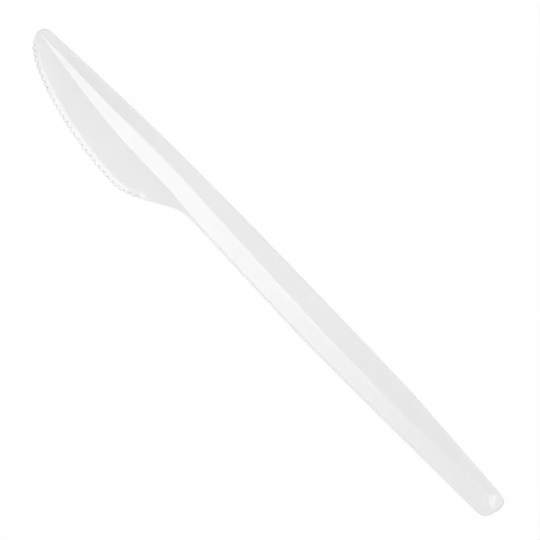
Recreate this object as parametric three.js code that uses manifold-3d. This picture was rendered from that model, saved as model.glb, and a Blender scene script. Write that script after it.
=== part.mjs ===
// Disposable table knife, injection moulded in one piece from white plastic.
// It lies flat on its rim: x runs from the tip to the end of the handle, the blunt spine
// is on +y, the serrated edge on -y, and the long ridge of the handle and blade points up.
// While it is built, x starts at the tip and y at the axis, a straight line through the handle.

import * as THREE from "three";
import { mergeVertices } from "three/addons/utils/BufferGeometryUtils.js";
import Module from "manifold-3d";

// Overall sizes, in millimetres
const knifeLength = 165;
const plateThickness = 1.1; // blade panel, and the rim all round
const wallThickness = 1.3; // from the roof down to the hollow under it
const rimChamfer = 0.25; // broken edges of the rim, above and below

// Nose of the blade
const noseRadius = 2.4;
const noseDrop = 1.53; // centre of the nose below the axis
const noseEndAngle = 227; // degrees, where the plain nose ends and the teeth begin

// Spine: its height above the axis at stations along the knife
const bladeStation = 30.5;
const spineAtBlade = 2.7;
const neckStation = 56.75; // where the heel of the blade meets the handle
const spineAtNeck = 3.77;
const gripStation = 93;
const spineAtGrip = 4.45;
const spineAtShoulder = 4.77;
const spineTaper = 36; // length from the shoulder to the end
const spineAtEnd = 3.44;

// Lower side of the handle: its depth below the axis
const gripAtNeck = 5.83;
const gripAtShoulder = 6.05;
const gripTaper = 63;
const gripAtEnd = 3.75;
const shoulderRound = 9; // length of the soft bend at the widest place
const neckRound = 3.2;
const endRoundSpine = 2.3;
const endRoundGrip = 3.6;

// Cutting edge of the blade, through the tips of the teeth
const bladeDepth = 14.05; // lowest point below the axis
const heelAngle = 31.6; // degrees, the straight heel from the edge up to the neck
const heelRound = 4.3;
const heelTeeth = 0.5; // how far the teeth reach onto the straight heel
const edgeEntryAngle = 55; // degrees, slope of the edge at the first tooth
const edgeEntryPull = 6; // reach of the curve's tangent at the first tooth
const edgeBellyPull = 15.2; // reach of the curve's tangent at the lowest point

// Teeth
const toothPitchTip = 1.58;
const toothPitchHeel = 1.8;
const toothDepth = 0.7; // halfway up the plate
const gapLean = 27; // degrees, the walls of the gaps lean back from the under face

// Hollow-ground bevel above the teeth
const bevelWidth = 2.4;
const edgeThickness = 0.45;
const bevelRunIn = 0.8; // length over which the bevel enters the panel at the first tooth
const bevelRunOut = 2.6; // length over which it leaves the panel on the heel

// Roof along the handle and blade: two facets that meet in the ridge
const rimLand = 0.6; // flat rim outside the roof
const facetAngle = 23; // degrees, slope of the facet on the spine side
const steepestAngle = 27; // degrees, most slope of the facet on the edge side
const ridgeRound = 0.25; // height over which the ridge is rounded
const ridgeAtTip = -1.32; // the ridge's place across the knife
const ridgeTipStation = 8;
const ridgeAtBelly = -1.15;
const ridgeBellyStation = 25;
const ridgeAtBlade = -0.38;
const ridgeBladeStation = 41;
const ridgeAtGrip = -0.87;
const ridgeAtShoulder = -0.6;
const ridgeTaper = 20; // from the ridge's last bend to the end
const ridgeAtTaper = 0.08;
const ridgeAtEnd = 1.2;
const hipLength = 4.7; // sloping facet at the end of the handle
const hipTurn = 35; // degrees, how far that facet turns towards the spine

// Valley between the roof and the blade panel, below the axis
const valleyTipStation = 5.6;
const valleyAtTip = 2.1;
const valleyAtBlade = 4.55;
const valleyAtNeck = 4.95;
const neckFlare = 2.6; // length over which the valley runs out into the handle's rim

// Stub left by the moulding gate round the spine corner of the handle's end
const gateStub = 0.4; // how far it stands out
const gateStart = 0.25; // its square side, below the axis
const gateHeight = 0.6;

// How finely the curves are divided
const curveSteps = 16;
const overlap = 0.5; // how far joined and cut bodies reach into each other
const tinyStep = 0.05;
const mergeDistance = 1e-4;

const wasm = await Module();
wasm.setup();

const radians = THREE.MathUtils.degToRad;
const bodyEnd = knifeLength - gateStub;
const nose = new THREE.Vector2(noseRadius, -noseDrop);

// A point at a distance and an angle from another
function polar(centre, distance, angle) {
  return new THREE.Vector2(
    centre.x + distance * Math.cos(angle),
    centre.y + distance * Math.sin(angle)
  );
}

// Carries a path to a corner and round it: the curve starts and ends a reach away from the corner
function roundCorner(path, corner, next, reach) {
  const start = corner.clone().add(path.currentPoint.clone().sub(corner).setLength(reach));
  const end = corner.clone().add(next.clone().sub(corner).setLength(reach));
  path.lineTo(start.x, start.y);
  path.quadraticCurveTo(corner.x, corner.y, end.x, end.y);
}

// Corners that the outline's edges share
const noseEnd = polar(nose, noseRadius, radians(noseEndAngle));
const halfToothTurn = toothPitchTip / 2 / (noseRadius + toothDepth);
const firstTooth = polar(nose, noseRadius + toothDepth, radians(noseEndAngle) + halfToothTurn);
const neckCorner = new THREE.Vector2(neckStation, -gripAtNeck);
const heelRun = (bladeDepth - gripAtNeck) / Math.tan(radians(heelAngle));
const heelCorner = new THREE.Vector2(neckStation - heelRun, -bladeDepth);
const gripShoulder = new THREE.Vector2(knifeLength - gripTaper, -gripAtShoulder);
const spineShoulder = new THREE.Vector2(knifeLength - spineTaper, spineAtShoulder);
const gripEndCorner = new THREE.Vector2(bodyEnd, -gripAtEnd);
const spineEndCorner = new THREE.Vector2(bodyEnd, spineAtEnd);
const endMiddle = new THREE.Vector2(bodyEnd, (spineAtEnd - gripAtEnd) / 2);

// Spine side, from the middle of the handle's end to the last plain point of the nose
function spineSide() {
  const path = new THREE.Path();
  path.moveTo(endMiddle.x, endMiddle.y);
  roundCorner(path, spineEndCorner, spineShoulder, endRoundSpine);
  path.lineTo(spineShoulder.x, spineShoulder.y);
  path.splineThru([
    new THREE.Vector2(gripStation, spineAtGrip),
    new THREE.Vector2(neckStation, spineAtNeck),
    new THREE.Vector2(bladeStation, spineAtBlade),
    new THREE.Vector2(nose.x, nose.y + noseRadius),
  ]);
  path.absarc(nose.x, nose.y, noseRadius, Math.PI / 2, radians(noseEndAngle));
  return path;
}

// Serrated side, along the tips of the teeth, from the first tooth to the straight heel
function cuttingEdge() {
  const path = new THREE.Path();
  const entry = polar(firstTooth, edgeEntryPull, radians(-edgeEntryAngle));
  const lowest = new THREE.Vector2(heelCorner.x - heelRound, -bladeDepth);
  path.moveTo(firstTooth.x, firstTooth.y);
  path.bezierCurveTo(entry.x, entry.y, lowest.x - edgeBellyPull, lowest.y, lowest.x, lowest.y);
  roundCorner(path, heelCorner, neckCorner, heelRound);
  const heelWay = neckCorner.clone().sub(heelCorner).setLength(heelTeeth);
  const end = path.currentPoint.clone().add(heelWay);
  path.lineTo(end.x, end.y);
  return path;
}

// Lower side of the handle, from the straight heel to the middle of the handle's end
function gripSide(start) {
  const path = new THREE.Path();
  path.moveTo(start.x, start.y);
  roundCorner(path, neckCorner, gripShoulder, neckRound);
  roundCorner(path, gripShoulder, gripEndCorner, shoulderRound);
  roundCorner(path, gripEndCorner, endMiddle, endRoundGrip);
  path.lineTo(endMiddle.x, endMiddle.y);
  return path;
}

const spine = spineSide();
const edge = cuttingEdge();
const grip = gripSide(edge.currentPoint);

// Points of a path moved to its left, which is into the knife
function insetPoints(path, distance) {
  const points = path.getPoints(curveSteps);
  return points.map((point, i) => {
    const before = points[Math.max(i - 1, 0)];
    const after = points[Math.min(i + 1, points.length - 1)];
    const along = after.clone().sub(before).normalize();
    return new THREE.Vector2(point.x - along.y * distance, point.y + along.x * distance);
  });
}

const spineFoot = insetPoints(spine, rimLand);
const gripFoot = insetPoints(grip, rimLand);

// Heights at which a line of points crosses a station
function crossings(points, x) {
  const heights = [];
  for (let i = 0; i + 1 < points.length; i++) {
    const from = points[i];
    const to = points[i + 1];
    if (from.x <= x !== to.x <= x) {
      heights.push(from.y + ((x - from.x) / (to.x - from.x)) * (to.y - from.y));
    }
  }
  return heights;
}

// Smooth line through knots, given as a function of the station
function lineThrough(knots) {
  const stations = knots.map((knot) => knot[0]);
  const places = knots.map((knot) => knot[1]);
  const line = new THREE.CubicInterpolant(stations, places, 1, new Float64Array(1));
  return (x) => line.evaluate(x)[0];
}

const roofStart = rimLand + tinyStep;
const roofEnd = bodyEnd - rimLand - tinyStep;
const ridgeEnd = knifeLength - hipLength;
const flareEnd = neckStation + neckFlare;

const ridgePlace = lineThrough([
  [rimLand, -noseDrop],
  [ridgeTipStation, ridgeAtTip],
  [ridgeBellyStation, ridgeAtBelly],
  [ridgeBladeStation, ridgeAtBlade],
  [gripStation, ridgeAtGrip],
  [spineShoulder.x, ridgeAtShoulder],
  [knifeLength - ridgeTaper, ridgeAtTaper],
  [ridgeEnd, ridgeAtEnd],
  [bodyEnd, endMiddle.y],
]);
const valleyPlace = lineThrough([
  [rimLand, -noseDrop],
  [valleyTipStation, -valleyAtTip],
  [bladeStation, -valleyAtBlade],
  [neckStation, -valleyAtNeck],
  [flareEnd, Math.min(...crossings(gripFoot, flareEnd))],
]);

// Lower foot of the roof: the valley along the blade, then the handle's rim
function lowerFoot(x) {
  return x < flareEnd ? valleyPlace(x) : Math.min(...crossings(gripFoot, x));
}

function upperFoot(x) {
  return Math.max(...crossings(spineFoot, x));
}

// Distance from a point to the foot of the facet on the spine side
function distanceToSpine(x, y) {
  const point = new THREE.Vector3(x, y, 0);
  const nearest = new THREE.Vector3();
  const segment = new THREE.Line3();
  let shortest = Infinity;
  for (let i = 0; i + 1 < spineFoot.length; i++) {
    segment.start.set(spineFoot[i].x, spineFoot[i].y, 0);
    segment.end.set(spineFoot[i + 1].x, spineFoot[i + 1].y, 0);
    segment.closestPointToPoint(point, true, nearest);
    shortest = Math.min(shortest, nearest.distanceTo(point));
  }
  return shortest;
}

// The lower of two heights, rounded where they meet
function roundedMinimum(a, b) {
  const blend = Math.max(ridgeRound - Math.abs(a - b), 0);
  return Math.min(a, b) - (blend * blend) / (4 * ridgeRound);
}

const facetSlope = Math.tan(radians(facetAngle));
const steepestSlope = Math.tan(radians(steepestAngle));

// Height of the roof over the plate: two facets with a rounded ridge, lower towards the tip
function roofHeight(x, y) {
  const foot = lowerFoot(x);
  const ridge = ridgePlace(x);
  const upperSpan = distanceToSpine(x, ridge);
  const height = Math.min(facetSlope * upperSpan, steepestSlope * (ridge - foot));
  const upper = (height / upperSpan) * distanceToSpine(x, y);
  const lower = (height / (ridge - foot)) * (y - foot);
  return roundedMinimum(upper, lower);
}

// Places across the roof at one station, closer together over the rounded ridge
function placesAcross(x) {
  const low = lowerFoot(x);
  const high = upperFoot(x);
  const ridge = ridgePlace(x);
  const round = Math.min(ridgeRound / facetSlope / 2, (ridge - low) / 2, (high - ridge) / 2);
  const below = ridge - round;
  const above = ridge + round;
  return [
    low,
    (2 * low + below) / 3,
    (low + 2 * below) / 3,
    below,
    ridge - round / 2,
    ridge,
    ridge + round / 2,
    above,
    (2 * above + high) / 3,
    (above + 2 * high) / 3,
    high,
  ];
}

// Numbers from one value up to, but not including, another
function spaced(from, to, steps) {
  return Array.from({ length: steps }, (_, i) => from + ((to - from) * i) / steps);
}

// Closed body through a row of sections with the same number of points, with flat ends
function loft(sections) {
  const size = sections[0].length;
  const last = (sections.length - 1) * size;
  const indices = [];
  for (let start = 0; start < last; start += size) {
    for (let i = 0; i < size; i++) {
      const here = start + i;
      const beside = start + ((i + 1) % size);
      indices.push(here, beside, beside + size, here, beside + size, here + size);
    }
  }
  for (let i = 1; i + 1 < size; i++) {
    indices.push(0, i + 1, i, last, last + i, last + i + 1);
  }
  const geometry = new THREE.BufferGeometry().setFromPoints(sections.flat());
  geometry.setIndex(indices);
  return geometry;
}

// Roof over the plate, reaching down into it
function roof() {
  const stations = [
    ...spaced(roofStart, nose.x, 8),
    ...spaced(nose.x, valleyTipStation, 4),
    ...spaced(valleyTipStation, neckStation, 16),
    ...spaced(neckStation, flareEnd, 5),
    ...spaced(flareEnd, ridgeEnd, 26),
    ...spaced(ridgeEnd, roofEnd, 10),
    roofEnd,
  ];
  return loft(
    stations.map((x) => {
      const base = plateThickness - overlap;
      const top = placesAcross(x).map(
        (y) => new THREE.Vector3(x, y, plateThickness + roofHeight(x, y))
      );
      return [
        new THREE.Vector3(x, lowerFoot(x), base),
        new THREE.Vector3(x, upperFoot(x), base),
        ...top.reverse(),
      ];
    })
  );
}

// Body above the sloping facet at the handle's end: it falls from the end of the ridge to the rim
function hipCut() {
  const turn = radians(hipTurn);
  const height = facetSlope * distanceToSpine(ridgeEnd, ridgeAtEnd);
  const run = (roofEnd - ridgeEnd) * Math.cos(turn) + (endMiddle.y - ridgeAtEnd) * Math.sin(turn);
  const side = 4 * hipLength;
  return new THREE.BoxGeometry(side, side, side)
    .translate(0, 0, side / 2)
    .rotateY(Math.atan(height / run))
    .rotateZ(turn)
    .translate(ridgeEnd, ridgeAtEnd, plateThickness + height);
}

// Flat plate of the whole outline, with its rim's edges broken
function plate() {
  const outline = new THREE.Shape();
  outline.moveTo(endMiddle.x, endMiddle.y);
  outline.curves.push(...spine.curves);
  outline.curves.push(new THREE.LineCurve(noseEnd, firstTooth));
  outline.curves.push(...edge.curves, ...grip.curves);
  const geometry = new THREE.ExtrudeGeometry(outline, {
    depth: plateThickness - 2 * rimChamfer,
    bevelEnabled: true,
    bevelThickness: rimChamfer,
    bevelSize: rimChamfer,
    bevelOffset: -rimChamfer,
    bevelSegments: 1,
    curveSegments: curveSteps,
  });
  return geometry.translate(0, 0, rimChamfer);
}

// Sweep that grinds the bevel: it rises out of the panel at both ends of the serrated edge
function bevelCut() {
  const path = new THREE.CurvePath();
  path.curves.push(...edge.curves, grip.curves[0]);
  const edgeLength = edge.getLength();
  const reach = edgeLength + bevelRunOut;
  const steps = 3 * curveSteps;
  const depth = plateThickness - edgeThickness;
  const inward = spaced(0, 1, 4).map((share) => share * bevelWidth);
  return loft(
    [...spaced(0, reach, steps), reach].map((run) => {
      const share = run / path.getLength();
      const point = path.getPointAt(share);
      const along = path.getTangentAt(share);
      const rise = THREE.MathUtils.smoothstep(run, edgeLength, reach);
      const fall = THREE.MathUtils.smoothstep(run, 0, bevelRunIn);
      const lift = (depth + tinyStep) * (1 - fall + rise);
      const at = (distance, z) =>
        new THREE.Vector3(point.x - along.y * distance, point.y + along.x * distance, z + lift);
      const ground = inward.map((distance) =>
        at(distance, plateThickness - depth * (1 - distance / bevelWidth) ** 2)
      );
      return [
        at(-overlap, plateThickness + overlap),
        at(-overlap, edgeThickness),
        ...ground,
        at(bevelWidth, plateThickness),
        at(bevelWidth, plateThickness + overlap),
      ];
    })
  );
}

// Outline of a gap between two teeth: it narrows to a sharp root and leaves the tips rounded
function gapOutline(before, after, depth) {
  const shape = new THREE.Shape();
  shape.moveTo(-before, -overlap);
  shape.lineTo(after, -overlap);
  shape.lineTo(after, 0);
  shape.quadraticCurveTo(after / 2, 0, 0, depth);
  shape.quadraticCurveTo(-before / 2, 0, -before, 0);
  return shape.getPoints(3);
}

// Gap with leaning walls, so that it is deeper at the top
function toothGap(before, after) {
  const lean = Math.tan(radians(gapLean));
  return loft(
    [-overlap, plateThickness + overlap].map((z) => {
      const depth = toothDepth + (z - plateThickness / 2) * lean;
      const outline = gapOutline(before, after, depth);
      return outline.map((point) => new THREE.Vector3(point.x, point.y, z));
    })
  );
}

// All gaps, at a pitch that grows evenly from the tip to the heel
function toothGaps() {
  const edgeLength = edge.getLength();
  const lastRoot = edgeLength - toothPitchHeel / 2;
  const count = Math.round(lastRoot / ((toothPitchTip + toothPitchHeel) / 2) + 0.5);
  const growth = (toothPitchHeel - toothPitchTip) / (2 * count);
  const rawRoot = (i) => toothPitchTip * (i + 0.5) + growth * (i + 0.5) ** 2;
  const root = (i) => (lastRoot * rawRoot(i)) / rawRoot(count - 1);
  return Array.from({ length: count }, (_, i) => {
    const here = root(i);
    const before = (here - root(i - 1)) / 2;
    const after = (root(i + 1) - here) / 2;
    const along = edge.getTangentAt(here / edgeLength);
    const point = edge.getPointAt(here / edgeLength);
    return toothGap(before, after).rotateZ(along.angle()).translate(point.x, point.y, 0);
  });
}

// Stub where the moulding was broken off its runner: it follows the rounded corner of the end
function gate() {
  const corner = new THREE.Vector2(knifeLength, spineAtEnd - rimChamfer);
  const shape = new THREE.Shape();
  shape.moveTo(bodyEnd - endRoundSpine, -gateStart);
  shape.lineTo(knifeLength, -gateStart);
  roundCorner(shape, corner, spineShoulder, endRoundSpine);
  const geometry = new THREE.ExtrudeGeometry(shape, {
    depth: gateHeight,
    bevelEnabled: false,
    curveSegments: curveSteps,
  });
  return geometry.translate(0, 0, rimChamfer);
}

// Solid for joining and cutting, from a closed geometry
function toSolid(geometry) {
  const bare = new THREE.BufferGeometry();
  bare.setAttribute("position", geometry.getAttribute("position"));
  bare.setIndex(geometry.getIndex());
  const merged = mergeVertices(bare, mergeDistance);
  const mesh = new wasm.Mesh({
    numProp: 3,
    vertProperties: Float32Array.from(merged.getAttribute("position").array),
    triVerts: Uint32Array.from(merged.getIndex().array),
  });
  return new wasm.Manifold(mesh);
}

function toGeometry(solid) {
  const mesh = solid.getMesh();
  const geometry = new THREE.BufferGeometry();
  geometry.setAttribute("position", new THREE.BufferAttribute(mesh.vertProperties, 3));
  geometry.setIndex(new THREE.BufferAttribute(mesh.triVerts, 1));
  geometry.computeVertexNormals();
  return geometry;
}

// The whole moulding: the hollow underneath is the roof again, one wall lower
function knifeSolid() {
  const top = toSolid(roof()).subtract(toSolid(hipCut()));
  const hollow = top.translate(0, 0, -wallThickness);
  let solid = toSolid(plate())
    .subtract(toSolid(bevelCut()))
    .add(toSolid(gate()))
    .add(top)
    .subtract(hollow);
  for (const gap of toothGaps()) {
    solid = solid.subtract(toSolid(gap));
  }
  return solid;
}

const whitePlastic = new THREE.MeshStandardMaterial({
  color: 0xf0f0ef,
  roughness: 0.35,
  metalness: 0,
});

const knife = new THREE.Mesh(toGeometry(knifeSolid()), whitePlastic);
knife.name = "knife";

// The finished knife rests on its rim, with the origin under the middle of its box
const box = new THREE.Box3().setFromObject(knife);
const middle = box.getCenter(new THREE.Vector3());
knife.position.set(-middle.x, -middle.y, -box.min.z);

const part = new THREE.Group();
part.add(knife);

export default part;
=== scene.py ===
"""Looks of a disposable table knife, moulded in one piece from white polystyrene.

Sizes are in millimetres in the knife's own plan: x runs from the tip to the end of the handle and
y from the axis towards the spine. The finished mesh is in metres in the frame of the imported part.
"""

import logging
import math
from collections.abc import Callable
from dataclasses import dataclass, field
from enum import Enum

import bmesh
import bpy
import numpy as np
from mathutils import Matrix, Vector
from mathutils.geometry import delaunay_2d_cdt


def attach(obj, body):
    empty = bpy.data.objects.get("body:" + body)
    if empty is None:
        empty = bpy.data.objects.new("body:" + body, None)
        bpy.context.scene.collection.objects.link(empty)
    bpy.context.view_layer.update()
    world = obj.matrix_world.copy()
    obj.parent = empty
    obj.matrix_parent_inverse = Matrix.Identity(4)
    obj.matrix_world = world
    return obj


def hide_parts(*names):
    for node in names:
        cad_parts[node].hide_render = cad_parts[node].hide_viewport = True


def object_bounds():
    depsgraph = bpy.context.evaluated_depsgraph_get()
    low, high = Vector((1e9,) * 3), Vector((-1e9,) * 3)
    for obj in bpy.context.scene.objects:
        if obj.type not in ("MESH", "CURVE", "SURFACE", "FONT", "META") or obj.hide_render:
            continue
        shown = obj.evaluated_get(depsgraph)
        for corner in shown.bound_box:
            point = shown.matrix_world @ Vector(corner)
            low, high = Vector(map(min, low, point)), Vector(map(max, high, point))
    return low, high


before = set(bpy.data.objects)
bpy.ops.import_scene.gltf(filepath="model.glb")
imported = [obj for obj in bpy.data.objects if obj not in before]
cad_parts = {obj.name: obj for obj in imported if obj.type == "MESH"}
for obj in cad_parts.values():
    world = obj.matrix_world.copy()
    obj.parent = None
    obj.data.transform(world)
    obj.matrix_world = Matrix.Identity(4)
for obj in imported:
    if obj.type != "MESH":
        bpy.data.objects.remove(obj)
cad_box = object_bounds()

LOG = logging.getLogger("knife")
MM = 0.001
# Run of a point that isn't on the serrated edge
OFF_EDGE = -1.0
# What each point carries for the cutting of the teeth
MARKS = {"run": "FLOAT", "inset": "FLOAT", "lift": "FLOAT", "level": "FLOAT", "inward": "FLOAT_VECTOR"}

Line = Callable[[np.ndarray], np.ndarray]


class Face(Enum):
    """The two broad faces of the knife."""

    UPPER = 1.0
    UNDER = 0.0


def linear(hex_colour: str) -> tuple[float, float, float, float]:
    """Turns an sRGB hex colour into linear values.

    Args:
        hex_colour: six hex digits.

    Returns:
        Linear red, green, blue and an alpha of one.
    """
    values = [int(hex_colour[i : i + 2], 16) / 255 for i in (0, 2, 4)]
    light = [v / 12.92 if v <= 0.04045 else ((v + 0.055) / 1.055) ** 2.4 for v in values]
    return (light[0], light[1], light[2], 1.0)


def add_node(tree: bpy.types.NodeTree, kind: str, settings: dict, **inputs: object) -> bpy.types.Node:
    """Adds a node with its settings, and fills or links its inputs.

    Args:
        tree: the node tree that gets the node.
        kind: the node's type name.
        settings: properties of the node itself.
        **inputs: for each input, named as in Blender with underscores for blanks or as i0, i1 for
            a place in the list, a value or the output socket that feeds it.

    Returns:
        The new node.
    """
    node = tree.nodes.new(kind)
    for name, value in settings.items():
        setattr(node, name, value)
    for name, value in inputs.items():
        place = int(name[1:]) if name[0] == "i" and name[1:].isdigit() else name.replace("_", " ")
        if isinstance(value, bpy.types.NodeSocket):
            tree.links.new(value, node.inputs[place])
        else:
            node.inputs[place].default_value = value
    return node


def polar(centre: np.ndarray, distance: float, angle: float) -> np.ndarray:
    """Gives the point at a distance and an angle in degrees from another."""
    turn = math.radians(angle)
    return centre + distance * np.array([math.cos(turn), math.sin(turn)])


def bezier(points: list[np.ndarray], steps: int) -> np.ndarray:
    """Gives the points of a Bezier curve, without its last one.

    Args:
        points: the control points.
        steps: how many points to give.

    Returns:
        The points, one a row.
    """
    t = np.linspace(0.0, 1.0, steps, endpoint=False)[:, None]
    degree = len(points) - 1
    return sum(
        math.comb(degree, i) * (1 - t) ** (degree - i) * t**i * point
        for i, point in enumerate(points)
    )


def corner(before: np.ndarray, at: np.ndarray, after: np.ndarray, reach: float) -> list[np.ndarray]:
    """Gives the control points that round a corner.

    Args:
        before: a point on the way in.
        at: the corner.
        after: a point on the way out.
        reach: how far from the corner the curve starts and ends.

    Returns:
        Start, corner and end of the curve.
    """
    start = at + (before - at) / np.linalg.norm(before - at) * reach
    end = at + (after - at) / np.linalg.norm(after - at) * reach
    return [start, at, end]


def spline(points: np.ndarray, steps: int) -> np.ndarray:
    """Gives a smooth curve through points, without its last one.

    Args:
        points: the points, one a row.
        steps: how many points to give for each stretch.

    Returns:
        The curve's points, one a row.
    """
    padded = np.vstack([points[:1], points, points[-1:]])
    stretches = []
    for p0, p1, p2, p3 in zip(padded, padded[1:], padded[2:], padded[3:]):
        entry = (p2 - p0) / 2 / 3
        leave = (p3 - p1) / 2 / 3
        stretches.append(bezier([p1, p1 + entry, p2 - leave, p2], steps))
    return np.vstack(stretches)


def smooth_line(knots: list[tuple[float, float]]) -> Line:
    """Makes a smooth line through knots, as a function of the station.

    Args:
        knots: pairs of a station and a place across the knife.

    Returns:
        The function from stations to places.
    """
    x, y = np.array(sorted(knots)).T
    secants = np.diff(y) / np.diff(x)
    slopes = np.concatenate([secants[:1], (secants[1:] + secants[:-1]) / 2, secants[-1:]])

    def place(station: np.ndarray) -> np.ndarray:
        """Gives the line's place at each station.

        Args:
            station: the stations.

        Returns:
            One place across the knife for each station.
        """
        i = np.clip(np.searchsorted(x, station) - 1, 0, len(x) - 2)
        width = x[i + 1] - x[i]
        t = np.clip((station - x[i]) / width, 0.0, 1.0)
        rise = y[i] * (1 + 2 * t) * (1 - t) ** 2 + y[i + 1] * t**2 * (3 - 2 * t)
        return rise + width * (slopes[i] * t * (1 - t) ** 2 - slopes[i + 1] * t**2 * (1 - t))

    return place


def smoothstep(value: np.ndarray, low: float, high: float) -> np.ndarray:
    """Rises smoothly from zero at low to one at high."""
    t = np.clip((value - low) / (high - low), 0.0, 1.0)
    return t * t * (3 - 2 * t)


def soft_minimum(a: np.ndarray, b: np.ndarray, width: float) -> np.ndarray:
    """Gives the lower of two heights, rounded over a width where they meet."""
    blend = np.maximum(width - np.abs(a - b), 0.0)
    return np.minimum(a, b) - blend * blend / (4 * width)


def inward_normals(points: np.ndarray, closed: bool) -> np.ndarray:
    """Gives the unit normals on the left of a line of points.

    Args:
        points: the points, one a row, with the knife on their left.
        closed: whether the line is a loop.

    Returns:
        The normals, one a row.
    """
    if closed:
        along = np.roll(points, -1, axis=0) - np.roll(points, 1, axis=0)
    else:
        along = np.gradient(points, axis=0)
    along /= np.linalg.norm(along, axis=1, keepdims=True)
    return np.column_stack([-along[:, 1], along[:, 0]])


def distance_to_line(places: np.ndarray, line: np.ndarray) -> np.ndarray:
    """Gives the distance from each place to a line of points.

    Args:
        places: the places, one a row.
        line: the line's points, one a row.

    Returns:
        One distance for each place.
    """
    shortest = np.full(len(places), np.inf)
    for start, end in zip(line, line[1:]):
        way = end - start
        t = np.clip((places - start) @ way / max(way @ way, 1e-12), 0.0, 1.0)
        gap = np.linalg.norm(places - start - t[:, None] * way, axis=1)
        shortest = np.minimum(shortest, gap)
    return shortest


def inside(places: np.ndarray, loop: np.ndarray) -> np.ndarray:
    """Tells which places lie inside a closed loop.

    Args:
        places: the places, one a row.
        loop: the loop's points, one a row.

    Returns:
        One truth value for each place.
    """
    odd = np.zeros(len(places), bool)
    for a, b in zip(loop, np.roll(loop, -1, axis=0)):
        if a[1] == b[1]:
            continue
        crosses = (a[1] > places[:, 1]) != (b[1] > places[:, 1])
        odd ^= crosses & (places[:, 0] < a[0] + (places[:, 1] - a[1]) * (b[0] - a[0]) / (b[1] - a[1]))
    return odd


@dataclass(frozen=True)
class SerratedEdge:
    """The toothed cutting edge and the hollow-ground bevel above it."""

    pitch_tip: float = 1.58
    pitch_heel: float = 1.8
    tooth_depth: float = 0.7
    gap_lean: float = 27.0
    bevel_width: float = 2.4
    edge_thickness: float = 0.45
    run_in: float = 0.8
    run_out: float = 2.6
    full_lift: float = 1.08
    columns_per_tooth: int = 16
    shortest_column: float = 0.05

    def gaps(self, edge_length: float) -> int:
        """Gives the number of gaps that fit along the edge."""
        mean_pitch = (self.pitch_tip + self.pitch_heel) / 2
        return round((edge_length - self.pitch_heel / 2) / mean_pitch + 0.5)

    def root_law(self, edge_length: float) -> tuple[float, float]:
        """Gives the law of the teeth along the edge: run = first * u + growth * u squared.

        A tooth's tip is where u is a whole number, and a gap's root is halfway between two tips.

        Args:
            edge_length: length of the serrated edge.

        Returns:
            The first pitch and its growth.
        """
        count = self.gaps(edge_length)
        growth = (self.pitch_heel - self.pitch_tip) / (2 * count)
        last = count - 0.5
        raw = self.pitch_tip * last + growth * last**2
        share = (edge_length - self.pitch_heel / 2) / raw
        return self.pitch_tip * share, growth * share

    def column_runs(self, edge_length: float) -> np.ndarray:
        """Gives the places along the edge where the mesh has its columns.

        Args:
            edge_length: length of the serrated edge.

        Returns:
            Runs from the first tooth's tip, with one on each root and each tip.
        """
        first, growth = self.root_law(edge_length)
        steps = self.gaps(edge_length) * self.columns_per_tooth
        u = np.arange(steps + 1) / self.columns_per_tooth
        runs = first * u + growth * u**2
        return np.append(runs[runs < edge_length - self.shortest_column], edge_length)

    def lift(self, run: float, edge_length: float) -> float:
        """Tells how far the bevel has run out of the panel.

        Args:
            run: place along the edge.
            edge_length: length of the serrated edge.

        Returns:
            Zero along the teeth, above one where there is no bevel.
        """
        fall = smoothstep(np.array(run), 0.0, self.run_in)
        rise = smoothstep(np.array(run), edge_length, edge_length + self.run_out)
        return float(self.full_lift * (1 - fall + rise))


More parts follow.
